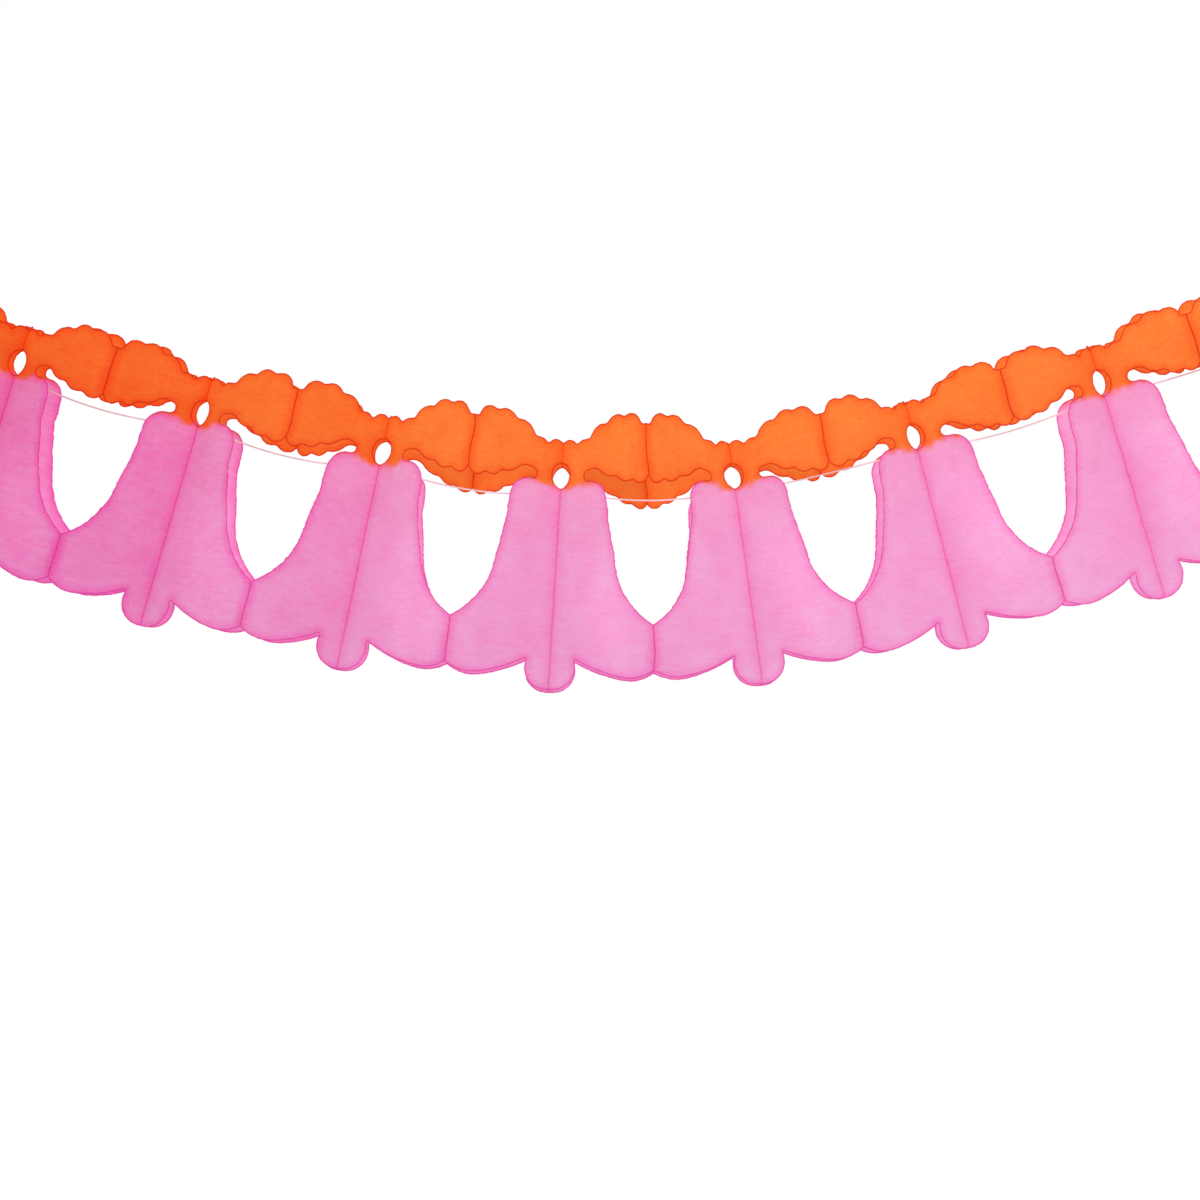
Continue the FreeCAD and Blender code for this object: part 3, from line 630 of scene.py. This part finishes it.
def make_sheet(cell, hand, name):
    """One folded sheet, with the flat sheet's measures kept as attributes for the dye and for the painted
    shade.
    """
    rows = level_rows(cell, hand)
    seed = cell * 11.3 + hand * 2.9
    flat = [deckled(point, distance, seed) for point, distance in zip(FLAT_POINTS, CUT_DISTANCES)]
    mesh = bpy.data.meshes.new(name)
    mesh.from_pydata([placed(rows, *point) * MM for point in flat], [], FLAT_FACES)
    mesh.update()
    normals = [vert.normal.copy() for vert in mesh.vertices]
    for vert, normal, point in zip(mesh.vertices, normals, flat):
        vert.co += normal * (wrinkle(point.x, point.y, seed) * MM)
    die = mesh.attributes.new("die", "FLOAT_VECTOR", "POINT")
    near = mesh.attributes.new("near", "FLOAT_VECTOR", "POINT")
    dye_level_and_shade = mesh.attributes.new("dye_level_and_shade", "FLOAT_VECTOR", "POINT")
    for index, (point, distance) in enumerate(zip(FLAT_POINTS, CUT_DISTANCES)):
        reach = abs(point.x)
        die.data[index].vector = (point.x, point.y, seed)
        near.data[index].vector = (distance, reach - FOLD, SEAM - reach)
        # The level the dye counts from, and this cell's painted shade, darker towards the left end.
        dye_level_and_shade.data[index].vector = (dipped(point), LEFT_CELL_SHADES[cell - 1], 0)
    for edge in mesh.edges:
        ends = [abs(FLAT_POINTS[i].x) for i in edge.vertices]
        edge.use_edge_sharp = any(
            all(abs(end - crease) < TOUCH for end in ends) for crease in (FOLD, SEAM))
    mesh.shade_smooth()
    mesh.update()
    return in_scene(name, mesh)


# ---- materials ----------------------------------------------------------------------------------

def linear(red, green, blue):
    """Linear colour of an 8-bit display colour."""
    channels = []
    for value in (red, green, blue):
        value /= 255
        channels.append(value / 12.92 if value <= 0.04045 else ((value + 0.055) / 1.055) ** 2.4)
    return (*channels, 1.0)


PINK = linear(249, 194, 235)
ORANGE = linear(255, 143, 57)
# DEEP_PINK and DEEP_ORANGE serve both the tissue's random mottle and the painted shade.
DEEP_PINK = linear(250, 92, 190)
DEEP_ORANGE = linear(255, 78, 10)
# LINE_PINK and LINE_ORANGE colour painted shade lines along the cut edges and the seams.
LINE_PINK = linear(236, 72, 172)
LINE_ORANGE = linear(216, 36, 4)
PALE_PINK = linear(247, 212, 236)
PALE_ORANGE = linear(255, 186, 116)
WHITE = (1.0, 1.0, 1.0, 1.0)

DYE_FOOT, DYE_TOP = -10.4, -4.4
CARD_DYE_FOOT, CARD_DYE_TOP = -12.4, -6.2
DYE_DRIFT = 1.6
FOLD_DYE_LIFT = 2.7
THROUGH_SHARE = 0.42
MIX_FIRST, MIX_SECOND = 6, 7


class Nodes:
    """Shorthand for building the node tree of a material or of the world."""

    def __init__(self, owner):
        self.owner = owner
        self.owner.use_nodes = True
        self.tree = self.owner.node_tree
        self.tree.nodes.clear()

    def add(self, kind, inputs=None, **settings):
        node = self.tree.nodes.new(kind)
        for key, value in settings.items():
            setattr(node, key, value)
        for key, value in (inputs or {}).items():
            self.put(node.inputs[key], value)
        return node

    def put(self, socket, value):
        if isinstance(value, bpy.types.NodeSocket):
            self.tree.links.new(value, socket)
        else:
            socket.default_value = value

    def math(self, operation, first, second=0.0):
        return self.add("ShaderNodeMath", {0: first, 1: second}, operation=operation).outputs[0]

    def ramp(self, value, low, high, to_low=0.0, to_high=1.0):
        return self.add("ShaderNodeMapRange", {
            "Value": value, "From Min": low, "From Max": high, "To Min": to_low, "To Max": to_high,
        }, interpolation_type="SMOOTHSTEP").outputs["Result"]

    def mix(self, factor, first, second):
        node = self.add("ShaderNodeMix", data_type="RGBA")
        self.put(node.inputs["Factor"], factor)
        self.put(node.inputs[MIX_FIRST], first)
        self.put(node.inputs[MIX_SECOND], second)
        return node.outputs[2]

    def noise(self, vector, scale, detail=2.0, roughness=0.5):
        return self.add("ShaderNodeTexNoise", {
            "Vector": vector, "Scale": scale, "Detail": detail, "Roughness": roughness,
        }).outputs["Fac"]

    def stretched(self, vector, turn, scale):
        return self.add("ShaderNodeMapping", {
            "Vector": vector, "Rotation": (0, 0, math.radians(turn)), "Scale": scale,
        }).outputs["Vector"]

    def parts_of(self, name):
        """The three numbers of a mesh attribute."""
        whole = self.add("ShaderNodeAttribute", attribute_name=name).outputs["Vector"]
        split = self.add("ShaderNodeSeparateXYZ", {0: whole}).outputs
        return split["X"], split["Y"], split["Z"]

    def finish(self, shader, output="ShaderNodeOutputMaterial"):
        self.add(output, {"Surface": shader})
        return self.owner


def tissue_material():
    """Thin dyed tissue: orange flap running into a pink bell, with painted shade along folds, seams and
    cut edges.
    """
    n = Nodes(bpy.data.materials.new("dyed_tissue"))
    die = n.add("ShaderNodeAttribute", attribute_name="die").outputs["Vector"]
    cut, from_fold, from_seam = n.parts_of("near")
    # The level the dye counts from, and the painted shade that darkens the cells towards the left end.
    level, left_cell_shade, _ = n.parts_of("dye_level_and_shade")
    fold_side = n.math("ABSOLUTE", from_fold)
    seam_range = n.math("ABSOLUTE", from_seam)

    drift = n.ramp(n.noise(die, 0.11), 0.3, 0.7, -DYE_DRIFT, DYE_DRIFT)
    dye_lift = n.ramp(fold_side, 2.0, 22.0, 0.0, FOLD_DYE_LIFT)
    orange_share = n.ramp(n.math("SUBTRACT", n.math("ADD", level, drift), dye_lift), DYE_FOOT, DYE_TOP)
    body = n.mix(orange_share, PINK, ORANGE)
    deep = n.mix(orange_share, DEEP_PINK, DEEP_ORANGE)
    line_shade_colour = n.mix(orange_share, LINE_PINK, LINE_ORANGE)
    pale = n.mix(orange_share, PALE_PINK, PALE_ORANGE)

    cloud = n.ramp(n.noise(die, 0.045, 3.0), 0.3, 0.7, 0.0, 0.14)
    streak = n.ramp(n.noise(n.stretched(die, 55, (0.1, 0.55, 1.0)), 1.0, 2.0), 0.35, 0.7, 0.0, 0.12)
    fibre = n.ramp(n.noise(n.stretched(die, 62, (0.6, 1.7, 1.0)), 0.8, 4.0, 0.65), 0.3, 0.72, 0.0, 0.2)
    speck = n.ramp(n.noise(die, 0.8, 5.0, 0.75), 0.46, 0.72, 0.0, 0.34)
    # Painted shade: the colour deepens near the folds, the seams and the cut edges, where the tissue lies
    # in creases and overlapping layers.
    crease_and_edge_shade = n.math("MAXIMUM", n.ramp(fold_side, 0.0, 7.0, 0.14, 0.0), n.ramp(cut, 0.0, 6.0, 0.3, 0.0))
    crease_and_edge_shade = n.math("MAXIMUM", crease_and_edge_shade, n.ramp(seam_range, 0.0, 8.0, 0.34, 0.0))
    crease_and_edge_shade = n.math("MAXIMUM", crease_and_edge_shade, n.ramp(fold_side, 0.3, 1.5, 0.46, 0.0))
    mottle = n.math("ADD", cloud, n.math("ADD", streak, fibre))
    # How far the colour goes to the deep colours: the tissue's own random mottle, plus painted shade near
    # creases and edges and the painted shade of the cells towards the left end.
    depth = n.math("ADD", n.math("ADD", crease_and_edge_shade, left_cell_shade), mottle)
    # Painted shade: dark lines along the cut edges and the seams, where the tissue is seen edge-on and in
    # doubled layers; on the seams partly the darker tone of the glue.
    line = n.math("MAXIMUM", n.ramp(cut, 0.2, 1.4, 0.8, 0.0), n.ramp(seam_range, 0.1, 0.9, 0.6, 0.0))
    dyed = n.mix(n.math("MINIMUM", depth, 0.95), n.mix(speck, body, pale), deep)
    colour = n.mix(line, dyed, line_shade_colour)

    crease = n.noise(n.stretched(die, 35, (1.0, 0.28, 1.0)), 0.16, 3.0)
    grain = n.noise(die, 1.7, 4.0, 0.6)
    height = n.math("ADD", crease, n.math("MULTIPLY", grain, 0.12))
    bump = n.add("ShaderNodeBump", {"Strength": 0.5, "Distance": 0.0012, "Height": height})
    paper = n.add("ShaderNodeBsdfPrincipled", {
        "Base Color": colour, "Roughness": 0.72, "Specular IOR Level": 0.25, "Normal": bump.outputs[0]})
    through = n.add("ShaderNodeBsdfTranslucent", {"Color": colour, "Normal": bump.outputs[0]})
    both = n.add("ShaderNodeMixShader", {
        0: THROUGH_SHARE, 1: paper.outputs[0], 2: through.outputs[0]})
    return n.finish(both.outputs[0])


def thread_material():
    """White cotton thread with the slanting lines of its twist."""
    n = Nodes(bpy.data.materials.new("cotton_thread"))
    place = n.add("ShaderNodeTexCoord").outputs["Object"]
    twist = n.add("ShaderNodeTexWave", {
        "Vector": n.stretched(place, 0, (1.0, 0.7, 0.7)), "Scale": 420.0, "Distortion": 1.5,
        "Detail": 1.0, "Detail Scale": 2.0}, bands_direction="DIAGONAL").outputs["Fac"]
    fuzz = n.noise(place, 2600.0, 3.0, 0.6)
    shade = n.math("MULTIPLY", twist, n.ramp(fuzz, 0.2, 0.8, 0.6, 1.0))
    colour = n.mix(shade, linear(250, 246, 246), WHITE)
    bump = n.add("ShaderNodeBump", {"Strength": 0.7, "Distance": 0.0003, "Height": twist})
    cotton = n.add("ShaderNodeBsdfPrincipled", {
        "Base Color": colour, "Roughness": 0.8, "Specular IOR Level": 0.2, "Sheen Weight": 0.7,
        "Sheen Roughness": 0.5, "Normal": bump.outputs[0]})
    return n.finish(cotton.outputs[0])


def card_material(bell):
    """Matt card dyed like the tissue, with the grain of board."""
    n = Nodes(bpy.data.materials.new(f"dyed_card_{bell}"))
    place = n.add("ShaderNodeTexCoord").outputs["Object"]
    rising = n.add("ShaderNodeVectorMath", {0: place, 1: upward(bell)}, operation="DOT_PRODUCT")
    eye = (EYES[bell] * MM).dot(upward(bell))
    level = n.math("DIVIDE", n.math("SUBTRACT", rising.outputs["Value"], eye), MM)
    drift = n.ramp(n.noise(place, 110.0), 0.3, 0.7, -DYE_DRIFT, DYE_DRIFT)
    orange_share = n.ramp(n.math("ADD", level, drift), CARD_DYE_FOOT, CARD_DYE_TOP)
    body = n.mix(orange_share, PINK, ORANGE)
    deep = n.mix(orange_share, DEEP_PINK, DEEP_ORANGE)
    pale = n.mix(orange_share, PALE_PINK, PALE_ORANGE)
    cloud = n.ramp(n.noise(place, 55.0, 3.0), 0.3, 0.7, 0.34, 0.46)
    speck = n.ramp(n.noise(place, 1500.0, 4.0, 0.7), 0.4, 0.75, 0.0, 0.3)
    grain = n.noise(n.stretched(place, 30, (500.0, 500.0, 1900.0)), 1.0, 4.0, 0.65)
    fibre = n.ramp(grain, 0.35, 0.7, 0.0, 0.2)
    colour = n.mix(n.math("ADD", cloud, fibre), n.mix(speck, body, pale), deep)
    bump = n.add("ShaderNodeBump", {
        "Strength": 0.4, "Distance": 0.0002, "Height": n.noise(place, 2100.0, 4.0, 0.6)})
    card = n.add("ShaderNodeBsdfPrincipled", {
        "Base Color": colour, "Roughness": 0.85, "Specular IOR Level": 0.25, "Normal": bump.outputs[0]})
    return n.finish(card.outputs[0])


def dress_node(node, material):
    node.data.materials.clear()
    node.data.materials.append(material)


tissue = tissue_material()
for cell in range(1, CELLS + 1):
    for hand, word in ((1, "left"), (-1, "right")):
        sheet = make_sheet(cell, hand, f"tissue_{cell}_{word}")
        sheet.data.materials.append(tissue)
        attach(sheet, "root")
        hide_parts(f"cell_{cell}_{word}_sheet")

cotton = thread_material()
thread.data.materials.append(cotton)
for knot in knots:
    dress_node(knot, cotton)
dress_node(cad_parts["left_end_card"], card_material(0))
dress_node(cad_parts["right_end_card"], card_material(CELLS))


# ---- floor, background and lamps ------------------------------------------------------------------

FLOOR_LEVEL = -0.75
FLOOR_LEFT, FLOOR_RIGHT, FLOOR_REACH = -1.5, 2.5, 1.5
SKY_STRENGTH = 0.64
KEY_PLACE = Vector((1.05, -3.0, 0.5))
KEY_AIM = Vector((1.05, 0.0, -0.15))


def make_floor():
    mesh = bpy.data.meshes.new("floor")
    mesh.from_pydata([
        (FLOOR_LEFT, -FLOOR_REACH, FLOOR_LEVEL), (FLOOR_RIGHT, -FLOOR_REACH, FLOOR_LEVEL),
        (FLOOR_RIGHT, FLOOR_REACH, FLOOR_LEVEL), (FLOOR_LEFT, FLOOR_REACH, FLOOR_LEVEL),
    ], [], [(0, 1, 2, 3)])
    floor = in_scene("floor", mesh)
    n = Nodes(bpy.data.materials.new("pale_floor"))
    paint = n.add("ShaderNodeBsdfPrincipled", {"Base Color": (0.85, 0.85, 0.85, 1), "Roughness": 0.9})
    mesh.materials.append(n.finish(paint.outputs[0]))


def make_world():
    """White to the camera, in reflections and through glass, and a softer sky to all else."""
    n = Nodes(bpy.data.worlds.new("studio"))
    path = n.add("ShaderNodeLightPath").outputs
    seen = n.math("MAXIMUM", path["Is Camera Ray"], path["Is Glossy Ray"])
    seen = n.math("MAXIMUM", seen, path["Is Transmission Ray"])
    sky = n.add("ShaderNodeBackground", {"Color": WHITE, "Strength": SKY_STRENGTH})
    white = n.add("ShaderNodeBackground", {"Color": WHITE, "Strength": 1.0})
    both = n.add("ShaderNodeMixShader", {0: seen, 1: sky.outputs[0], 2: white.outputs[0]})
    bpy.context.scene.world = n.finish(both.outputs[0], "ShaderNodeOutputWorld")


def face(lamp, place, target):
    """Put a lamp at a place and turn it to its target."""
    lamp.location = place
    lamp.rotation_euler = (target - place).to_track_quat("-Z", "Y").to_euler()


def make_key():
    """Broad spot lamp in front of the right half, so that the left end falls off a little."""
    data = bpy.data.lights.new("key", "SPOT")
    data.energy = 144.0
    data.shadow_soft_size = 0.5
    data.spot_size = math.radians(49)
    data.spot_blend = 1.0
    face(in_scene("key", data), KEY_PLACE, KEY_AIM)


def make_lamp(name, place, energy, extent):
    """Square soft lamp that faces the middle of the garland."""
    data = bpy.data.lights.new(name, "AREA")
    data.energy = energy
    data.size = extent
    face(in_scene(name, data), Vector(place), VIEW_CENTRE)


make_floor()
make_world()
make_key()
make_lamp("fill", (-0.4, -2.6, 0.2), 2.0, 1.6)
make_lamp("rim", (1.5, 1.9, 1.0), 16.0, 1.4)
bpy.context.scene.view_settings.view_transform = "Standard"
